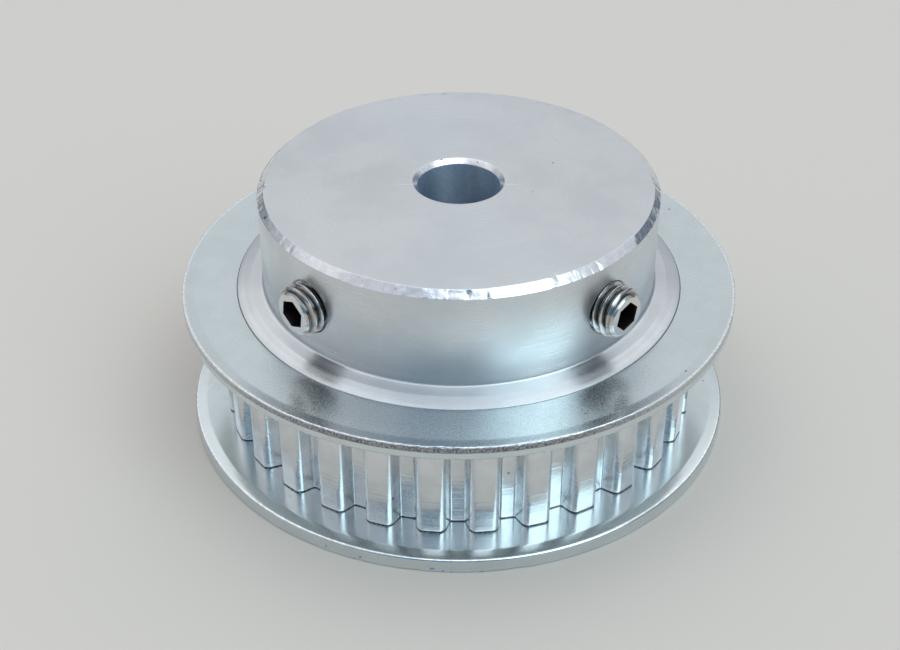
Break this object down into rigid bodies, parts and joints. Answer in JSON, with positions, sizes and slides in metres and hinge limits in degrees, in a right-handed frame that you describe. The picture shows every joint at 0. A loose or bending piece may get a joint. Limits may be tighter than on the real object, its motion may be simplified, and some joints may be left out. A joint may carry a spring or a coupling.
{
  "type": "timing belt pulley",
  "caption": "Toothed timing belt pulley with two flanges, a hub on one side, a plain through bore and radial set screws that clamp it to a shaft.",
  "frame": {"origin": "centre of the base, on the shaft axis, in the plane of the lower flange's rim and the body's end face", "axes": "+Z along the shaft axis, out of the hub; a groove of the toothed rim faces -Y, and the set screws point 45 degrees to each side of -Y"},
  "size_m": [0.055, 0.055, 0.0253],
  "materials": {
    "turned_aluminium": "turned, bright satin",
    "zinc_plated_steel": "blue-white zinc plating, semi-gloss",
    "nickel_plated_steel": "bright nickel plating"
  },
  "bodies": {
    "pulley": {"pulley_body": "turned_aluminium", "lower_flange": "zinc_plated_steel", "upper_flange": "zinc_plated_steel"},
    "left_screw": {"left_set_screw": "nickel_plated_steel"},
    "right_screw": {"right_set_screw": "nickel_plated_steel"}
  },
  "joints": [
    {"name": "left_screw_travel", "type": "slide", "parent": "pulley", "child": "left_screw", "axis": [-0.7071, -0.7071, 0], "range_m": [-0.0096, 0.0048]},
    {"name": "right_screw_travel", "type": "slide", "parent": "pulley", "child": "right_screw", "axis": [0.7071, -0.7071, 0], "range_m": [-0.0096, 0.0048]}
  ]
}
